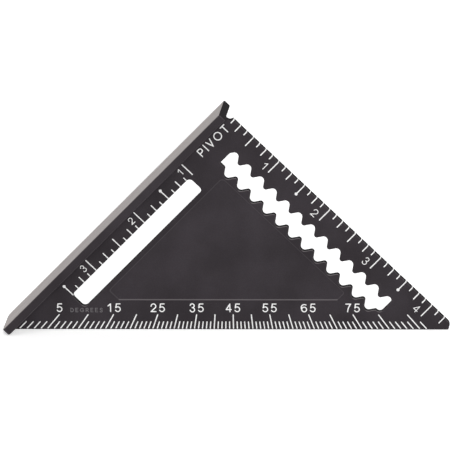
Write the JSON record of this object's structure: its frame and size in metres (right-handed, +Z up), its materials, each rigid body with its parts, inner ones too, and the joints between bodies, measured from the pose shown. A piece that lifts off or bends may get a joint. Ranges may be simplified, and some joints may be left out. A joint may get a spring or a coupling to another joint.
{
  "type": "speed square",
  "caption": "Small triangular rafter square with a T-shaped fence, inch and degree scales, a straight slot and a scalloped pencil slot.",
  "frame": {"origin": "on the ground, under the middle of the tool's bounding box, as it stands on its long edge", "axes": "+X along the long graduated edge from the fence to the tip, +Y from the front face to the back face, +Z up from the long edge to the pivot corner"},
  "size_m": [0.161, 0.02, 0.0827],
  "materials": {
    "black_coating": "satin black coating on cast aluminium",
    "black_coating_and_bare_face": "satin black coating, with the outer face machined back to bare aluminium",
    "white_enamel": "white enamel fill, slightly matt",
    "grey_enamel": "dark grey enamel fill, matt"
  },
  "bodies": {
    "root": {"blade": "black_coating", "fence": "black_coating_and_bare_face", "leg_inch_ticks": "white_enamel", "leg_inch_numerals": "white_enamel", "slot_inch_ticks": "white_enamel", "slot_inch_numerals": "white_enamel", "lumber_width_marks": "white_enamel", "pivot_word": "white_enamel", "single_degree_ticks": "white_enamel", "five_degree_ticks": "white_enamel", "degree_numerals": "white_enamel", "degrees_word": "grey_enamel", "back_leg_ticks": "white_enamel", "back_leg_numerals": "white_enamel"}
  },
  "joints": []
}
